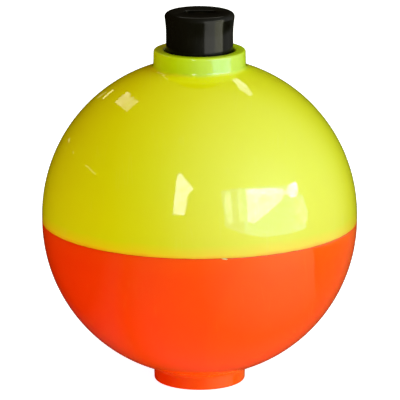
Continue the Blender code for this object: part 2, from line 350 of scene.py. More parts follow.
def wire(name, points, radius, finish, sides):
    """Round wire along the points, with softly rounded tips, as a mesh."""
    curve = bpy.data.curves.new(name, "CURVE")
    curve.dimensions = "3D"
    curve.bevel_depth = radius
    curve.bevel_resolution = (sides - 4) // 2
    curve.use_fill_caps = True
    spline = curve.splines.new("POLY")
    places = tipped(points, radius)
    spline.points.add(len(places) - 1)
    for point, (place, share) in zip(spline.points, places):
        point.co = (*place, 1.0)
        point.radius = share
    drawn = bpy.data.objects.new(name, curve)
    bpy.context.scene.collection.objects.link(drawn)
    graph = bpy.context.evaluated_depsgraph_get()
    mesh = bpy.data.meshes.new_from_object(drawn.evaluated_get(graph))
    bpy.data.objects.remove(drawn, do_unlink=True)
    work = bmesh.new()
    work.from_mesh(mesh)
    bmesh.ops.remove_doubles(work, verts=work.verts[:], dist=radius / 1000)
    work.to_mesh(mesh)
    work.free()
    smooth(mesh)
    mesh.materials.clear()
    return add_object(name, mesh, finish)


def tipped(points, radius):
    """The wire's points with a few more at each end, where its radius closes in a round tip."""
    tip_round = radius * TIP_ROUND_SHARE
    start = [Vector(point) for point in points]
    ends = []
    for first, second in ((start[0], start[1]), (start[-1], start[-2])):
        inward = (second - first).normalized()
        end = []
        for step in range(EDGE_STEPS + 1):
            angle = math.pi / 2 * step / EDGE_STEPS
            share = 1 - (tip_round / radius) * (1 - math.sin(angle))
            depth = tip_round * (1 - math.cos(angle))
            end.append((first + inward * depth, share))
        ends.append(end)
    middle = [(point, 1.0) for point in start[1:-1]]
    return ends[0] + middle + list(reversed(ends[1]))


# ---------------------------------------------------------------- materials

def ramp_output(tree, factor, stops):
    """A colour ramp through (position, colour) stops."""
    node = tree.nodes.new("ShaderNodeValToRGB")
    elements = node.color_ramp.elements
    while len(elements) < len(stops):
        elements.new(0.5)
    for element, (position, colour) in zip(elements, stops):
        element.position = position
        element.color = (*colour, 1.0)
    tree.links.new(factor, node.inputs["Fac"])
    return node.outputs["Color"]


def spread_output(tree, value, low_in, high_in, low_out, high_out, kind="LINEAR"):
    """A value moved from one range to another, held at the ends; its kind says how it eases."""
    node = tree.nodes.new("ShaderNodeMapRange")
    node.interpolation_type = kind
    settings = {"From Min": low_in, "From Max": high_in, "To Min": low_out, "To Max": high_out}
    for key, number in settings.items():
        node.inputs[key].default_value = number
    tree.links.new(value, node.inputs["Value"])
    return node.outputs["Result"]


def colour_sockets(sockets):
    """A Mix node has sockets for every kind of value: these are the ones for colours."""
    return [socket for socket in sockets if socket.type == "RGBA"]


class Finish:
    """A Principled material and short ways to add the nodes behind it."""

    def __init__(self, name, roughness, **values):
        self.material = bpy.data.materials.new(name)
        self.material.use_nodes = True
        self.tree = self.material.node_tree
        self.nodes = self.tree.nodes
        self.links = self.tree.links
        self.shader = self.nodes["Principled BSDF"]
        self.shader.inputs["Roughness"].default_value = roughness
        for key, value in values.items():
            socket = key.replace("_", " ").title().replace("Ior", "IOR")
            self.shader.inputs[socket].default_value = value
        self.place = self.nodes.new("ShaderNodeTexCoord").outputs["Object"]

    def mapped(self, scale, turn=(0.0, 0.0, 0.0)):
        """The object's own coordinates, scaled per axis and turned."""
        mapping = self.nodes.new("ShaderNodeMapping")
        mapping.inputs["Scale"].default_value = scale
        mapping.inputs["Rotation"].default_value = turn
        self.links.new(self.place, mapping.inputs["Vector"])
        return mapping.outputs["Vector"]

    def noise(self, scale, detail=2.0, stretch=(1.0, 1.0, 1.0), turn=(0.0, 0.0, 0.0)):
        """Noise from 0 to 1 with this many waves a metre."""
        node = self.nodes.new("ShaderNodeTexNoise")
        node.inputs["Scale"].default_value = scale
        node.inputs["Detail"].default_value = detail
        self.links.new(self.mapped(stretch, turn), node.inputs["Vector"])
        return node.outputs["Fac"]

    def ramp(self, factor, stops):
        """A colour ramp through (position, colour) stops."""
        return ramp_output(self.tree, factor, stops)

    def spread(self, value, low_in, high_in, low_out, high_out):
        """A value moved from one range to another, held at the ends."""
        return spread_output(self.tree, value, low_in, high_in, low_out, high_out)

    def maths(self, operation, first, second):
        """Two values, or a value and a number, put together."""
        node = self.nodes.new("ShaderNodeMath")
        node.operation = operation
        for socket, value in zip(node.inputs, (first, second)):
            if isinstance(value, float):
                socket.default_value = value
            else:
                self.links.new(value, socket)
        return node.outputs["Value"]

    def mix(self, factor, first, second):
        """Two colours mixed by a factor."""
        node = self.nodes.new("ShaderNodeMix")
        node.data_type = "RGBA"
        if isinstance(factor, float):
            node.inputs["Factor"].default_value = factor
        else:
            self.links.new(factor, node.inputs["Factor"])
        for socket, value in zip(colour_sockets(node.inputs), (first, second)):
            if isinstance(value, tuple):
                socket.default_value = (*value, 1.0)
            else:
                self.links.new(value, socket)
        return colour_sockets(node.outputs)[0]

    def height(self):
        """Height above the lower rim, in metres."""
        node = self.nodes.new("ShaderNodeSeparateXYZ")
        self.links.new(self.place, node.inputs["Vector"])
        return node.outputs["Z"]

    def scratches(self, scale, turn, width=0.02):
        """Thin, broken hair lines, 1 on a line and 0 off it."""
        lines = self.noise(scale, 1.0, (1.0, 0.06, 0.06), turn)
        near = self.maths("ABSOLUTE", self.maths("SUBTRACT", lines, 0.5), 0.0)
        line = self.spread(near, 0.0, width, 1.0, 0.0)
        broken = self.spread(self.noise(scale / 3, 1.0), 0.56, 0.66, 0.0, 1.0)
        return self.maths("MULTIPLY", line, broken)

    def bump(self, value, depth, before=None):
        """Surface relief of this depth in metres, added to an earlier one."""
        node = self.nodes.new("ShaderNodeBump")
        node.inputs["Strength"].default_value = 1.0
        node.inputs["Distance"].default_value = depth
        self.links.new(value, node.inputs["Height"])
        if before is not None:
            self.links.new(before, node.inputs["Normal"])
        return node.outputs["Normal"]

    def use(self, socket, output):
        """Drive one of the shader's sockets."""
        self.links.new(output, self.shader.inputs[socket])


# Moulded surfaces: noise in waves a metre, relief in metres
SHELL_ROUGHNESS = 0.34
SHELL_RELIEF = 0.9 * MM / 100
BUTTON_ROUGHNESS = 0.13
BUTTON_RELIEF = 0.7 * MM / 100
SMUDGE_SCALE = 140.0
GRAIN_SCALE = 5200.0
WAVE_SCALE = 85.0
HAIR_LINES = ((900.0, (0.3, 0.5, 0.2)), (760.0, (1.2, 0.1, 1.9)))
BAND_WOBBLE = 0.12 * MM


def plastic_surface(finish, roughness, relief):
    """What every moulded piece shares: a soft waviness, a fine grain, smudges and hair scratches.

    It gives back where the scratches are, for the colour.
    """
    smudge = finish.spread(finish.noise(SMUDGE_SCALE, 3.0), 0.35, 0.7, 0.0, 1.0)
    first, second = [finish.scratches(scale, turn) for scale, turn in HAIR_LINES]
    hair = finish.maths("MAXIMUM", first, second)
    grain = finish.noise(GRAIN_SCALE)
    rough = finish.spread(smudge, 0.0, 1.0, roughness - 0.04, roughness + 0.05)
    rough = finish.maths("ADD", rough, finish.maths("MULTIPLY", hair, 0.12))
    finish.use("Roughness", rough)
    wave = finish.bump(finish.noise(WAVE_SCALE, 1.0), relief * 6)
    grained = finish.bump(grain, relief * 0.02, wave)
    finish.use("Normal", finish.bump(hair, -relief * 0.05, grained))
    return hair


def shell_plastic(name, subsurface_radius):
    """The shells' plastic: slightly see-through, with a hard gloss."""
    return Finish(
        name, SHELL_ROUGHNESS,
        coat_weight=1.0, coat_roughness=0.045, coat_ior=1.5, specular_ior_level=0.0,
        subsurface_weight=0.25, subsurface_scale=1.0 * MM, subsurface_radius=subsurface_radius,
    )


def yellow_plastic():
    """Fluorescent yellow-green: gold over the orange spigot, the orange showing through plus painted
    glow; lime at the collar, painted glow of light through its thin wall.
    """
    finish = shell_plastic("yellow_plastic", (1.6, 1.4, 0.3))
    span = TOP_RIM_Z - SEAM_Z
    # From the seam up: three gold stops where it laps over the spigot, partly the orange showing
    # through and partly painted glow of the orange half's light; then the ball and shoulder; then the
    # collar's lime, a painted glow of light shining through its thin wall
    heights = (
        (SEAM_Z, (1.0, 0.38, 0.008)),
        (SEAM_Z + 0.13 * SPIGOT_RISE, (0.97, 0.55, 0.009)),
        (SEAM_Z + 0.3 * SPIGOT_RISE, (0.88, 0.69, 0.009)),
        (SPIGOT_TOP_Z + 0.15 * MM, (0.72, 0.77, 0.003)),
        (SEAM_Z + 9.0 * MM, (0.73, 0.80, 0.003)),
        (TOP_RIM_Z - 2.3 * MM, (0.78, 0.81, 0.002)),
        (TOP_RIM_Z - 1.9 * MM, (0.51, 0.75, 0.003)),
    )
    stops = [((height - SEAM_Z) / span, colour) for height, colour in heights]
    wobble = finish.spread(finish.noise(330.0), 0.3, 0.7, -BAND_WOBBLE, BAND_WOBBLE)
    level = finish.maths("ADD", finish.height(), wobble)
    base = finish.ramp(finish.spread(level, SEAM_Z, TOP_RIM_Z, 0.0, 1.0), stops)
    flow = finish.spread(finish.noise(60.0, 3.0, (1.0, 1.0, 0.35)), 0.35, 0.75, 0.0, 0.22)
    base = finish.mix(flow, base, (0.80, 0.72, 0.002))
    hair = plastic_surface(finish, SHELL_ROUGHNESS, SHELL_RELIEF)
    base = finish.mix(finish.maths("MULTIPLY", hair, 0.03), base, (0.95, 0.95, 0.30))
    finish.use("Base Color", base)
    return finish.material


def orange_plastic():
    """Fluorescent orange-red, deepest mid-bowl, lighter towards the seam and with painted light at
    the lower collar, with faint flow marks from moulding.
    """
    finish = shell_plastic("orange_plastic", (1.8, 0.5, 0.2))
    # Lighter and more yellow at the bottom: painted light that fills the shade the ball's overhang
    # casts on the lower collar. Lighter again towards the seam.
    stops = [
        (0.0, (0.88, 0.052, 0.0006)),
        (0.10, (0.89, 0.045, 0.0006)),
        (0.2, (0.92, 0.034, 0.0006)),
        (0.55, (0.93, 0.035, 0.0006)),
        (0.88, (0.94, 0.042, 0.0006)),
        (1.0, (0.95, 0.052, 0.0006)),
    ]
    base = finish.ramp(finish.spread(finish.height(), 0.0, SEAM_Z, 0.0, 1.0), stops)
    flow = finish.spread(finish.noise(55.0, 3.0, (1.0, 1.0, 0.4)), 0.35, 0.75, 0.0, 0.25)
    base = finish.mix(flow, base, (0.90, 0.021, 0.0006))
    hair = plastic_surface(finish, SHELL_ROUGHNESS, SHELL_RELIEF)
    base = finish.mix(finish.maths("MULTIPLY", hair, 0.03), base, (1.0, 0.25, 0.08))
    finish.use("Base Color", base)
    return finish.material


def black_plastic():
    """Black with a fine moulded grain, a little dust, and edges rubbed slightly grey."""
    finish = Finish("black_plastic", BUTTON_ROUGHNESS, ior=1.14)
    geometry = finish.nodes.new("ShaderNodeNewGeometry")
    worn = finish.spread(geometry.outputs["Pointiness"], 0.53, 0.62, 0.0, 1.0)
    worn = finish.maths("MULTIPLY", worn, finish.spread(finish.noise(900.0, 4.0), 0.4, 0.7, 0.0, 1.0))
    dust = finish.spread(finish.noise(420.0, 4.0), 0.5, 0.8, 0.0, 0.35)
    base = finish.mix(dust, (0.0046, 0.0044, 0.0030), (0.0070, 0.0068, 0.0050))
    base = finish.mix(worn, base, (0.014, 0.014, 0.012))
    hair = plastic_surface(finish, BUTTON_ROUGHNESS, BUTTON_RELIEF)
    base = finish.mix(finish.maths("MULTIPLY", hair, 0.04), base, (0.08, 0.08, 0.075))
    finish.use("Base Color", base)
    return finish.material


def drawn_metal(name, bright, dull, roughness, along):
    """Drawn wire: bright metal with duller patches and fine lines along the wire."""
    finish = Finish(name, roughness, metallic=1.0)
    patches = finish.spread(finish.noise(480.0, 4.0), 0.42, 0.68, 0.0, 1.0)
    finish.use("Base Color", finish.mix(patches, bright, dull))
    lines = finish.noise(9000.0, 2.0, along)
    rough = finish.spread(patches, 0.0, 1.0, roughness, roughness + 0.14)
    rough = finish.maths("ADD", rough, finish.maths("MULTIPLY", lines, 0.05))
    finish.use("Roughness", rough)
    finish.use("Normal", finish.bump(lines, 0.002 * MM))
    return finish.material


def cement_finish():
    """Dried clear cement: amber, glossy and a little uneven."""
    finish = Finish(
        "cement", 0.22, subsurface_weight=0.5, subsurface_scale=0.4 * MM, coat_weight=0.6,
        coat_roughness=0.1, subsurface_radius=(1.0, 0.8, 0.4),
    )
    cloud = finish.spread(finish.noise(1500.0, 3.0), 0.35, 0.7, 0.0, 1.0)
    finish.use("Base Color", finish.mix(cloud, (0.90, 0.74, 0.34), (0.82, 0.55, 0.16)))
    finish.use("Normal", finish.bump(finish.noise(2600.0, 2.0), 0.02 * MM))
    return finish.material


YELLOW = yellow_plastic()
ORANGE = orange_plastic()
BLACK = black_plastic()
BRASS = drawn_metal("brass_wire", (0.83, 0.60, 0.27), (0.50, 0.33, 0.14), 0.20, (1.0, 1.0, 0.03))
STEEL = drawn_metal("spring_steel", (0.62, 0.63, 0.65), (0.36, 0.35, 0.34), 0.22, (0.05, 0.05, 1.0))
CEMENT = cement_finish()


# ---------------------------------------------------------------- the pieces

def stands_for(piece, node, body):
    """Show this piece instead of its CAD node, on the same body."""
    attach(piece, body)
    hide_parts(node)


def uneven_seam(shell, reach, height):
    """Let a shell's edge at the seam wander by a few hundredths of a millimetre, as trimmed flash."""
    for vertex in shell.data.vertices:
        across = math.hypot(vertex.co.x, vertex.co.y)
        near = max(0.0, 1.0 - abs(vertex.co.z - SEAM_Z) / reach)
        if across < BALL_RADIUS - FLASH_DEPTH or near == 0.0:
            continue
        outward = Vector((vertex.co.x, vertex.co.y, 0.0)) / across
        rough = noise.fractal(outward * 16.0 + Vector((0.0, 0.0, 3.7)), 1.0, 2.0, 3)
        vertex.co.z += near * height * rough


def upper_shell():
    """Yellow half: collar with a lip at its mouth, dome, skirt over the lap, and the core tube."""
    inner_radius = BALL_RADIUS - WALL
    lap_radius = inner_radius + SPIGOT_WALL + LAP_GAP
    rebate_z = SPIGOT_TOP_Z + CEMENT_SPACE
    rebate_angle = math.degrees(math.asin((rebate_z - UPPER_CENTRE_Z) / inner_radius))
    hollow_end = angle_where(COLLAR_RADIUS, inner_radius)
    dome = ball_arc(UPPER_CENTRE_Z, BALL_RADIUS, angle_where(COLLAR_RADIUS, BALL_RADIUS), 0.0)
    hollow = ball_arc(UPPER_CENTRE_Z, inner_radius, rebate_angle, hollow_end)
    first = dome.pop(0)
    dome = dome[1:]
    corners = [
        (CORE_BORE, CORE_END_Z, 0.0),
        (CORE_BORE, MOUTH_LIP_Z, 0.0),
        (MOUTH_BORE, MOUTH_LIP_Z, EDGE_ROUND),
        (MOUTH_BORE, TOP_RIM_Z, RIM_ROUND),
        (COLLAR_RIM_RADIUS, TOP_RIM_Z, RIM_ROUND),
        (first[0], first[1], UPPER_COLLAR_FILLET),
        *dome,
        (BALL_RADIUS, SEAM_Z + SEAM_EDGE, 0.0),
        (BALL_RADIUS, SEAM_Z + SEAM_GAP, SEAM_ROUND),
        (lap_radius, SEAM_Z + SEAM_GAP, 0.0),
        (lap_radius, rebate_z, 0.0),
        *hollow,
        (COLLAR_RADIUS, CORE_END_Z, 0.0),
    ]
    shell = turned("upper_shell_fine", rounded(corners), YELLOW, closed=True)
    uneven_seam(shell, *FLASH_UPPER)
    stands_for(shell, "upper_shell", "float_body")
    return shell


def lower_shell():
    """Orange half: spigot, bowl, collar, recessed floor with its boss, tube and core socket."""
    inner_radius = BALL_RADIUS - WALL
    spigot_radius = inner_radius + SPIGOT_WALL
    socket_bore = COLLAR_RADIUS + LAP_GAP
    socket_radius = socket_bore + SOCKET_WALL
    hollow = ball_arc(SEAM_Z, inner_radius, -angle_where(LOWER_TUBE_RADIUS, inner_radius), 0.0)
    bowl = ball_arc(SEAM_Z, BALL_RADIUS, 0.0, -angle_where(COLLAR_RADIUS, BALL_RADIUS))
    last = bowl.pop()
    bowl = bowl[1:-1]
    corners = [
        (0.0, BOSS_TOP_Z, 0.0),
        (BOSS_RADIUS, BOSS_TOP_Z, EDGE_ROUND),
        (BOSS_RADIUS, FLOOR_TOP_Z, 0.0),
        (LOWER_TUBE_BORE, FLOOR_TOP_Z, 0.0),
        (LOWER_TUBE_BORE, CORE_LEDGE_Z, EDGE_ROUND),
        (socket_bore, CORE_LEDGE_Z, 0.0),
        (socket_bore, SOCKET_TOP_Z, EDGE_ROUND),
        (socket_radius, SOCKET_TOP_Z, EDGE_ROUND),
        (socket_radius, CORE_LEDGE_Z, 0.0),
        (LOWER_TUBE_RADIUS, CORE_LEDGE_Z - FLARE_RISE, 0.0),
        *hollow,
        (inner_radius, SPIGOT_TOP_Z, 0.0),
        (spigot_radius, SPIGOT_TOP_Z, EDGE_ROUND),
        (spigot_radius, SEAM_Z, 0.0),
        (BALL_RADIUS, SEAM_Z, SEAM_ROUND),
        (BALL_RADIUS, SEAM_Z - SEAM_EDGE, 0.0),
        *bowl,
        (last[0], last[1], LOWER_COLLAR_FILLET),
        (COLLAR_RIM_RADIUS, 0.0, RIM_ROUND),
        (CORE_BORE, 0.0, EDGE_ROUND),
        (RECESS_ROOT_RADIUS, RECESS_DEPTH, 0.0),
        (0.0, RECESS_DEPTH, 0.0),
    ]
    shell = turned("lower_shell_fine", rounded(corners), ORANGE)
    uneven_seam(shell, *FLASH_LOWER)
    for side in (-1, 1):
        drill(
            shell, side * WIRE_OFFSET, WIRE_HOLE_RADIUS, WIRE_HOLE_RADIUS,
            RECESS_DEPTH, BOSS_TOP_Z, low_open=True, high_open=True,
        )
    stands_for(shell, "lower_shell", "float_body")
    return shell


def push_button():
    """Black button: flat top on a rounded lip, plain stem, guide skirt, spring bore and pocket."""
    lip_z = BUTTON_TOP_Z - BUTTON_SHOULDER_DROP
    shoulder_width = BUTTON_LIP_RADIUS - BUTTON_FLAT_RADIUS
    shoulder = arc(
        (BUTTON_FLAT_RADIUS, lip_z), (shoulder_width, BUTTON_SHOULDER_DROP), 90.0, 0.0, 3 * EDGE_STEPS
    )
    corners = [
        (0.0, BUTTON_TOP_Z, 0.0),
        *shoulder,
        (BUTTON_LIP_RADIUS - 0.01 * MM, lip_z - 0.12 * MM, 0.0),
        (BUTTON_STEM_RADIUS, BUTTON_TOP_Z - BUTTON_WAIST_DROP, BUTTON_WAIST_ROUND),
        (BUTTON_STEM_RADIUS, SKIRT_TOP_Z + EDGE_ROUND, 0.0),
        (SKIRT_RADIUS, SKIRT_TOP_Z - EDGE_ROUND, EDGE_ROUND),
        (SKIRT_RADIUS, SKIRT_END_Z, EDGE_ROUND),
        (BUTTON_BORE, SKIRT_END_Z, EDGE_ROUND),
        (BUTTON_BORE, BUTTON_CEILING_Z, 0.0),
        (0.0, BUTTON_CEILING_Z, 0.0),
    ]
    button = turned("push_button_fine", rounded(corners), BLACK)
    pocket_floor = BUTTON_TOP_Z - POCKET_DEPTH
    drill(
        button, 0.0, POCKET_HALF_LENGTH, POCKET_HALF_WIDTH,
        pocket_floor, BUTTON_TOP_Z, low_open=False, high_open=True, edge=POCKET_ROUND,
    )
    for side in (-1, 1):
        drill(
            button, side * WIRE_OFFSET, WIRE_HOLE_RADIUS, WIRE_HOLE_RADIUS,
            BUTTON_CEILING_Z, pocket_floor + EDGE_ROUND, low_open=True, high_open=False,
        )
    stands_for(button, "push_button", "button_body")
    return button


def hook_wire():
    """Brass wire with a squared hook at each end and its tips back in their holes."""
    low = WIRE_BOX[0].z + WIRE_RADIUS
    high = WIRE_BOX[1].z - WIRE_RADIUS
    corners = [
        (WIRE_OFFSET, low + WIRE_TIP, 0.0),
        (WIRE_OFFSET, low, WIRE_BEND),
        (-WIRE_OFFSET, low, WIRE_BEND),
        (-WIRE_OFFSET, high, WIRE_BEND),
        (WIRE_OFFSET, high, WIRE_BEND),
        (WIRE_OFFSET, high - WIRE_TIP, 0.0),
    ]
    points = [(across, 0.0, up) for across, up in rounded(corners, BEND_STEPS)]
    piece = wire("hook_wire_fine", points, WIRE_RADIUS, BRASS, sides=WIRE_SIDES)
    stands_for(piece, "hook_wire", "hook_body")
    return piece


def spring_height(turn, total_turns, low_z, high_z):
    """Height of the spring's wire after so many turns: closed at both ends, even in between."""
    if turn <= 1.0:
        return low_z + SPRING_CLOSED_PITCH * turn
    if turn >= total_turns - 1.0:
        return high_z - SPRING_CLOSED_PITCH * (total_turns - turn)
    active_pitch = (high_z - low_z - 2 * SPRING_CLOSED_PITCH) / SPRING_ACTIVE_TURNS
    return low_z + SPRING_CLOSED_PITCH + active_pitch * (turn - 1.0)


def return_spring():
    """The spring in two halves: the lower follows the wire's slide, the upper the button's."""
    total_turns = SPRING_ACTIVE_TURNS + 2
    low_z = SPRING_BOX[0].z + SPRING_WIRE_RADIUS
    high_z = SPRING_BOX[1].z - SPRING_WIRE_RADIUS
    middle_z = (low_z + high_z) / 2
    half_turns = total_turns // 2
    halves = (
        ("return_spring_lower", 0, "float_body", "press_slide", SPRING_BOX[0].z, middle_z),
        ("return_spring_upper", half_turns, "hook_body", "sleeve_slide", middle_z, SPRING_BOX[1].z),
    )
    for name, first_turn, body, joint, anchor_z, end_z in halves:
        points = []
        for index in range(half_turns * SPRING_POINTS_PER_TURN + 1):
            turn = first_turn + index / SPRING_POINTS_PER_TURN
            angle = 2 * math.pi * turn
            height = spring_height(turn, total_turns, low_z, high_z)
            points.append((SPRING_RADIUS * math.cos(angle), SPRING_RADIUS * math.sin(angle), height))
        half = wire(name, points, SPRING_WIRE_RADIUS, STEEL, sides=SPRING_SIDES)
        stands_for(half, "return_spring", body)
        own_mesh(half)


def cement_ring(name, node, box, thickness):
    """A bead of dried cement all round, with a soft, slightly wavy surface."""
    outer = box[1].x
    low, high = box[0].z, box[1].z
    corners = [
        (outer - thickness, (low + high) / 2, 0.0),
        (outer - thickness, high, EDGE_ROUND * 0.7),
        (outer, high, EDGE_ROUND * 0.4),
        (outer, low, EDGE_ROUND * 0.4),
        (outer - thickness, low, EDGE_ROUND * 0.7),
        (outer - thickness, (low + high) / 2, 0.0),
    ]
    ring = turned(name, rounded(corners)[:-1], CEMENT, closed=True)
    for vertex in ring.data.vertices:
        inward = Vector((vertex.co.x, vertex.co.y, 0.0))
        if inward.length < outer - thickness / 2:
            wave = noise.fractal(inward.normalized() * 9.0, 1.0, 2.0, 3)
            vertex.co += inward.normalized() * BEAD_WAVE * wave
    stands_for(ring, node, "float_body")


def squeezed_cement():
    """A small smear of cement that came out of the seam, just right of the front."""
    length, width, rise = 0.36 * MM, 0.10 * MM, 0.05 * MM
    centre = math.radians(-90.0 + SMEAR_AZIMUTH)
    work = bmesh.new()
    bmesh.ops.create_icosphere(work, subdivisions=4, radius=1.0)
    for vertex in work.verts:
        lumpy = 1.0 + 0.35 * noise.fractal(vertex.co * 2.2 + Vector((5.1, 0.0, 1.3)), 1.0, 2.0, 3)
        angle = centre + vertex.co.x * length * lumpy / BALL_RADIUS
        out = BALL_RADIUS - SMEAR_SINK + max(vertex.co.y, -0.6) * rise * lumpy
        height = SEAM_Z - SMEAR_SINK + vertex.co.z * width * lumpy - SMEAR_SLOPE * vertex.co.x
        vertex.co = Vector((out * math.cos(angle), out * math.sin(angle), height))
    mesh = bpy.data.meshes.new("squeezed_cement")
    bmesh.ops.recalc_face_normals(work, faces=work.faces[:])
    work.to_mesh(mesh)
    work.free()
    mesh.shade_smooth()
    smear = add_object("squeezed_cement", mesh, CEMENT)
    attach(smear, "float_body")


UPPER = upper_shell()
LOWER = lower_shell()
BUTTON = push_button()
hook_wire()
return_spring()
cement_ring("seam_cement_fine", "seam_cement", SEAM_BEAD_BOX, SEAM_BEAD_THICKNESS)
cement_ring("core_cement_fine", "core_cement", CORE_BEAD_BOX, CORE_BEAD_THICKNESS)
squeezed_cement()


# ---------------------------------------------------------------- studio

def direction(azimuth, elevation):
    """A unit vector; azimuth 0 is towards the camera's side (-Y) and grows towards +X."""
    turn, lift = math.radians(azimuth), math.radians(elevation)
    return Vector((math.sin(turn) * math.cos(lift), -math.cos(turn) * math.cos(lift), math.sin(lift)))


SHELLS = bpy.data.collections.new("shells")
SHELLS.objects.link(UPPER)
SHELLS.objects.link(LOWER)

BALL_CENTRE = Vector((0.0, 0.0, (SEAM_Z + UPPER_CENTRE_Z) / 2))
LIGHT_DISTANCE = 1.0
NEAR_LIGHT_DISTANCE = 0.7
HAZE_DISTANCE = 1.5
FLOOR_SIZE = 6.0
FLOOR_GAP = 0.01 * MM
FLOOR_WHITE = (0.92, 0.92, 0.92)
FLOOR_ROUGHNESS = 0.9
FLOOR_SPECULAR = 0.1
FLOOR_GLOW = (0.42, 0.38, 0.26)
FLOOR_SEEN = (0.8, 0.9, 1.0)

# A pane is brighter and dimmer in patches: noise in waves a metre, its range, and shares of strength
PANE_MOTTLE = 16.0
MOTTLE_NOISE = (0.35, 0.65)
MOTTLE_SHARES = (0.8, 1.2)


def soft_light(name, azimuth, elevation, size, brightness, colour, piece=None, shine=False):
    """A large area light aimed at the ball, for one piece or for all, with its size for 1 m away.

    Brightness 1 lights a facing white surface to white. The light shows in no reflection, unless
    it is a shine: that one only shows as a reflection.
    """
    distance = LIGHT_DISTANCE if piece is None else NEAR_LIGHT_DISTANCE
    data = bpy.data.lights.new(name, "AREA")
    data.shape = "RECTANGLE"
    data.size, data.size_y = size[0] * distance, size[1] * distance
    data.energy = brightness * math.pi ** 2 * distance ** 2
    data.color = colour
    lamp = bpy.data.objects.new(name, data)
    bpy.context.scene.collection.objects.link(lamp)
    towards = direction(azimuth, elevation)
    lamp.location = BALL_CENTRE + towards * distance
    lamp.rotation_euler = towards.to_track_quat("Z", "Y").to_euler()
    lamp.visible_glossy = shine
    lamp.visible_diffuse = not shine
    lamp.visible_camera = False
    if piece is not None:
        lit = bpy.data.collections.new(name)
        lit.objects.link(piece)
        lamp.light_linking.receiver_collection = lit
        lamp.light_linking.blocker_collection = lit


def window_pane(name, strength, colour, away, corners):
    """A bright pane, or a dark card, that only shows as a reflection in the two shells.

    Corners are (azimuth, elevation) in degrees.
    """
    points = [BALL_CENTRE + direction(*corner) * away for corner in corners]
    mesh = bpy.data.meshes.new(name)
    mesh.from_pydata(points, [], [list(range(len(points)))])
    glow = bpy.data.materials.new(name)
    glow.use_nodes = True
    tree = glow.node_tree
    tree.nodes.clear()
    emission = tree.nodes.new("ShaderNodeEmission")
    output = tree.nodes.new("ShaderNodeOutputMaterial")
    emission.inputs["Color"].default_value = (*colour, 1.0)
    mottle = tree.nodes.new("ShaderNodeTexNoise")
    mottle.inputs["Scale"].default_value = PANE_MOTTLE
    place = tree.nodes.new("ShaderNodeTexCoord").outputs["Object"]
    tree.links.new(place, mottle.inputs["Vector"])
    dim, bright = [share * strength for share in MOTTLE_SHARES]
    power = spread_output(tree, mottle.outputs["Fac"], *MOTTLE_NOISE, dim, bright)
    tree.links.new(power, emission.inputs["Strength"])
    tree.links.new(emission.outputs["Emission"], output.inputs["Surface"])
    pane = add_object(name, mesh, glow)
    pane.visible_camera = False
    pane.visible_diffuse = False
    pane.visible_transmission = False
    pane.visible_shadow = False
    pane.light_linking.receiver_collection = SHELLS


WARM_WHITE = (1.0, 0.95, 0.90)
GOLDEN = (1.0, 0.92, 0.45)
SKY_WHITE = (0.70, 0.85, 1.0)
SKY_VIOLET = (0.90, 0.84, 1.0)
HAZE_BLUE = (0.51, 0.79, 1.0)
HAZE_PALE = (0.52, 0.64, 1.0)

# The room's own light: (how far towards its bright side, from -1 to 1, colour) stops
ROOM_BRIGHT = (58.0, 15.0)
ROOM_UPPER = (
    (-0.55, (0.0, 0.0, 0.0)),
    (-0.19, (0.045, 0.038, 0.030)),
    (0.07, (0.10, 0.095, 0.080)),
    (0.3, (0.20, 0.20, 0.185)),
    (0.5, (0.29, 0.29, 0.285)),
    (0.68, (0.39, 0.39, 0.39)),
    (0.85, (0.55, 0.55, 0.55)),
    (1.0, (0.82, 0.86, 0.86)),
)
ROOM_UPPER_STRENGTH = 4.3
ROOM_LOW_BRIGHT = (62.0, -10.0)
ROOM_LOWER = (
    (-0.65, (0.0, 0.0, 0.0)),
    (-0.49, (0.11, 0.09, 0.09)),
    (-0.35, (0.11, 0.07, 0.02)),
    (-0.15, (0.11, 0.10, 0.13)),
    (0.1, (0.12, 0.14, 0.13)),
    (0.45, (0.16, 0.17, 0.11)),
    (0.65, (0.32, 0.36, 0.25)),
    (0.82, (0.50, 0.58, 0.42)),
    (0.9, (0.60, 0.70, 0.51)),
    (1.0, (0.95, 1.0, 0.80)),
)
ROOM_LOWER_STRENGTH = 1.0
ROOM_AMBIENT = (0.41, 0.225, 0.10)

# Reflections that go below the split see the lower half of the room. The room dims towards the back,
# from the first share to the second over that range of +Y.
ROOM_SPLIT = (-0.268, -0.254)
BACK_RANGE = (0.4, 0.95)
BACK_SHARES = (1.0, 0.25)

# Lights on everything, then the button's reflections, each as name, azimuth, elevation, size,
# brightness and colour
LIGHTS = (
    ("key_right", 60.0, 45.0, (1.0, 1.0), 0.64, (0.64, 0.98, 0.80)),
    ("left_fill", -80.0, 38.0, (1.0, 1.0), 0.11, (1.0, 0.22, 0.02)),
    ("front_fill", 0.0, 15.0, (1.2, 0.9), 0.28, (0.68, 1.0, 0.58)),
    ("top_fill", 90.0, 68.0, (1.0, 1.0), 0.14, (0.85, 1.0, 0.80)),
)
BUTTON_SHINES = (
    ("button_band", 51.0, 6.0, (1.42, 1.3), 5.8, (1.0, 1.0, 0.92)),
    ("button_shine", 70.5, 0.0, (0.58, 1.2), 0.8, (1.0, 1.0, 0.25)),
    ("button_line", 178.0, 45.0, (0.5, 0.16), 0.06, (1.0, 0.97, 0.85)),
)
for light in LIGHTS:
    soft_light(*light)
soft_light("low_right", 64.0, -25.0, (1.0, 1.0), 4.2, (0.12, 1.0, 0.08), piece=LOWER)
for light in BUTTON_SHINES:
    soft_light(*light, piece=BUTTON, shine=True)

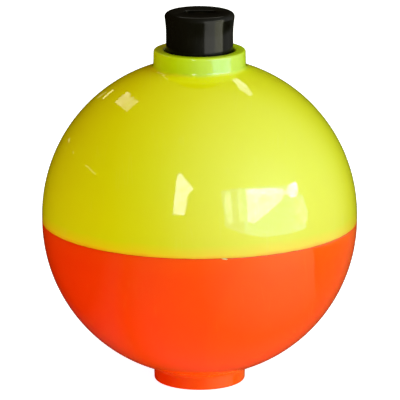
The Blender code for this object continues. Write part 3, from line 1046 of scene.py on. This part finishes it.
# Panes: name, strength, colour, distance, corners as (azimuth, elevation). First come the windows on
# the right, the haze round them and the card that darkens the far right. Most of the corners were
# worked out by another program, as the directions that the ball mirrors to given places in the view.
PANES = (
    (
        "window_right_top", 18.0, SKY_WHITE, LIGHT_DISTANCE,
        ((37.5, 28.5), (68, 21.3), (66.5, 18), (37, 25)),
    ),
    (
        "window_right", 14.0, SKY_WHITE, LIGHT_DISTANCE,
        ((37, 25), (66.5, 18), (66, 16), (46, 8), (39, 5), (34.5, 7)),
    ),
    (
        "window_right_gap", 12.0, SKY_WHITE, LIGHT_DISTANCE,
        ((67, 21), (71.5, 19), (70.5, 17.3), (65.6, 17.4)),
    ),
    (
        "window_right_far", 18.0, SKY_WHITE, LIGHT_DISTANCE,
        ((70, 18), (74, 21.5), (82.5, 21), (82, 17), (78, 13.5), (73, 14)),
    ),
    (
        "blind_strip_near", 7.0, SKY_WHITE, LIGHT_DISTANCE,
        ((21, 29), (24.5, 28.5), (24, 8), (21, 5.5), (18, 19)),
    ),
    (
        "blind_strip_far", 6.6, SKY_WHITE, LIGHT_DISTANCE,
        ((30, 28.5), (33, 28), (32, 7.5), (28.5, 7.5)),
    ),
    (
        "doorway_right", 6.2, SKY_WHITE, LIGHT_DISTANCE,
        ((74, 12.5), (81.5, 11.5), (83.5, 2), (81, -3.5), (73.5, -2.5)),
    ),
    (
        "haze_right", 6.0, HAZE_BLUE, HAZE_DISTANCE,
        ((33, 30), (71.3, 22.1), (83.3, 12.5), (85, 1.8), (81.9, -5.7), (68.2, -6.1),
         (45.4, -5.2), (32, -1.5)),
    ),
    (
        "haze_blinds", 4.3, HAZE_PALE, HAZE_DISTANCE,
        ((17, 30), (33, 30), (32, -1.5), (27, 0.5), (18, 5)),
    ),
    (
        "black_card", 0.1, WARM_WHITE, LIGHT_DISTANCE,
        ((89.5, -15.4), (93, -20), (100.2, -29), (110.7, -34.3), (126.4, -36.4), (150, -40),
         (150, -15.4), (120, -15.4)),
    ),
    (
        "window_left", 9.5, SKY_VIOLET, LIGHT_DISTANCE,
        ((-20.5, 41), (-18, 43), (-5, 32.3), (-9.5, 27.3), (-10.7, 13.4), (-19.3, 13.3),
         (-19.7, 31.7)),
    ),
    (
        "window_back_left", 2.4, (1.0, 0.85, 0.72), LIGHT_DISTANCE,
        ((-143.5, 31), (-151, 32), (-147, 37.2), (-142.9, 40.2), (-143.1, 42.3),
         (-141.2, 43), (-136, 49), (-126, 45.5)),
    ),
    (
        "glint_left_low", 1.0, GOLDEN, LIGHT_DISTANCE,
        ((-149.6, 4.4), (-147, 6.4), (-143.3, 7.7), (-145, 6.4)),
    ),
    (
        "glint_left_high", 0.9, GOLDEN, LIGHT_DISTANCE,
        ((-131.2, 12), (-129.5, 13.2), (-127.2, 13.3), (-128.4, 12.5)),
    ),
    (
        "window_back_left_slit", 2.1, GOLDEN, LIGHT_DISTANCE,
        ((-157, 13.7), (-160.5, 14), (-158.5, 17), (-154.5, 16.5)),
    ),
    (
        "window_back_left_edge", 0.6, GOLDEN, LIGHT_DISTANCE,
        ((-164, 4.5), (-163.7, 7.6), (-162, 10), (-161.6, 7)),
    ),
    (
        "window_back_right", 3.8, (0.90, 0.88, 0.95), LIGHT_DISTANCE,
        ((164.6, 43.3), (163.7, 39.7), (156.7, 43), (144, 49), (142, 52.3), (152, 51.8)),
    ),
    (
        "window_far_left", 2.2, GOLDEN, LIGHT_DISTANCE,
        ((-107.4, 18.8), (-107, 19.7), (-93, 21.3), (-93, 20.3)),
    ),
    (
        "window_back_edge", 1.0, GOLDEN, LIGHT_DISTANCE,
        ((-168.9, 26.4), (-169.3, 26.3), (-167.7, 34.7), (-167, 35)),
    ),
)
for pane in PANES:
    window_pane(*pane)


def room_half(tree, place, aim, stops, strength):
    """The room's light by the angle from its bright side, as (share of that direction, colour)."""
    nodes, links = tree.nodes, tree.links
    dot = nodes.new("ShaderNodeVectorMath")
    dot.operation = "DOT_PRODUCT"
    dot.inputs[1].default_value = direction(*aim)
    links.new(place, dot.inputs[0])
    share = spread_output(tree, dot.outputs["Value"], -1.0, 1.0, 0.0, 1.0)
    placed = [((share_of_aim + 1) / 2, colour) for share_of_aim, colour in stops]
    light = nodes.new("ShaderNodeBackground")
    links.new(ramp_output(tree, share, placed), light.inputs["Color"])
    power = nodes.new("ShaderNodeMath")
    power.operation = "MULTIPLY"
    power.inputs[1].default_value = strength
    axes = nodes.new("ShaderNodeSeparateXYZ")
    links.new(place, axes.inputs["Vector"])
    links.new(spread_output(tree, axes.outputs["Y"], *BACK_RANGE, *BACK_SHARES), power.inputs[0])
    links.new(power.outputs["Value"], light.inputs["Strength"])
    return light.outputs["Background"]


def choose(tree, factor, otherwise, when):
    """One shader where the factor is 1, another where it is 0."""
    mix = tree.nodes.new("ShaderNodeMixShader")
    tree.links.new(factor, mix.inputs["Fac"])
    tree.links.new(otherwise, mix.inputs[1])
    tree.links.new(when, mix.inputs[2])
    return mix.outputs["Shader"]


def studio_world():
    """The room round the float, as the gloss sees it: bright on the right, dim and warm on the left.

    What isn't gloss is lit by an even, warm light, and the camera sees plain white.
    """
    world = bpy.data.worlds.new("studio")
    bpy.context.scene.world = world
    world.use_nodes = True
    tree = world.node_tree
    nodes, links = tree.nodes, tree.links
    nodes.clear()
    place = nodes.new("ShaderNodeTexCoord").outputs["Generated"]
    axes = nodes.new("ShaderNodeSeparateXYZ")
    links.new(place, axes.inputs["Vector"])
    above = spread_output(tree, axes.outputs["Z"], *ROOM_SPLIT, 0.0, 1.0, "SMOOTHSTEP")
    upper = room_half(tree, place, ROOM_BRIGHT, ROOM_UPPER, ROOM_UPPER_STRENGTH)
    lower = room_half(tree, place, ROOM_LOW_BRIGHT, ROOM_LOWER, ROOM_LOWER_STRENGTH)
    room = choose(tree, above, lower, upper)
    ambient = nodes.new("ShaderNodeBackground")
    ambient.inputs["Color"].default_value = (*ROOM_AMBIENT, 1.0)
    white = nodes.new("ShaderNodeBackground")
    ray = nodes.new("ShaderNodeLightPath").outputs
    shown = choose(tree, ray["Is Glossy Ray"], ambient.outputs["Background"], room)
    shown = choose(tree, ray["Is Camera Ray"], shown, white.outputs["Background"])
    output = nodes.new("ShaderNodeOutputWorld")
    links.new(shown, output.inputs["Surface"])


def studio_floor():
    """A plain white floor, lit a little from below as a light table is."""
    finish = bpy.data.materials.new("floor_white")
    finish.use_nodes = True
    nodes, links = finish.node_tree.nodes, finish.node_tree.links
    shader = nodes["Principled BSDF"]
    shader.inputs["Base Color"].default_value = (*FLOOR_WHITE, 1.0)
    shader.inputs["Roughness"].default_value = FLOOR_ROUGHNESS
    shader.inputs["Specular IOR Level"].default_value = FLOOR_SPECULAR
    glow = nodes.new("ShaderNodeMix")
    glow.data_type = "RGBA"
    for socket, colour in zip(colour_sockets(glow.inputs), (FLOOR_GLOW, FLOOR_SEEN)):
        socket.default_value = (*colour, 1.0)
    links.new(nodes.new("ShaderNodeLightPath").outputs["Is Camera Ray"], glow.inputs["Factor"])
    links.new(colour_sockets(glow.outputs)[0], shader.inputs["Emission Color"])
    shader.inputs["Emission Strength"].default_value = 1.0
    half = FLOOR_SIZE / 2
    mesh = bpy.data.meshes.new("floor")
    corners = [(-half, -half, 0), (half, -half, 0), (half, half, 0), (-half, half, 0)]
    mesh.from_pydata(corners, [], [(0, 1, 2, 3)])
    floor = add_object("floor", mesh, finish)
    floor.location.z = LOWER_BOX[0].z - FLOOR_GAP
    floor.visible_glossy = False


def camera():
    """The camera, level and straight in front, looking down on the ball from a little above."""
    towards = direction(0.0, CAMERA_ELEVATION)
    target = BALL_CENTRE + Vector((CAMERA_AIM[0] * BALL_RADIUS, 0.0, CAMERA_AIM[1] * BALL_RADIUS))
    data = bpy.data.cameras.new("camera")
    data.lens = CAMERA_LENS
    data.sensor_width = SENSOR_WIDTH
    data.clip_start = CAMERA_CLIP
    made = bpy.data.objects.new("camera", data)
    bpy.context.scene.collection.objects.link(made)
    made.location = target + towards * CAMERA_DISTANCE
    made.rotation_euler = towards.to_track_quat("Z", "Y").to_euler()
    bpy.context.scene.camera = made


studio_world()
studio_floor()
camera()
bpy.context.scene.view_settings.view_transform = "Standard"
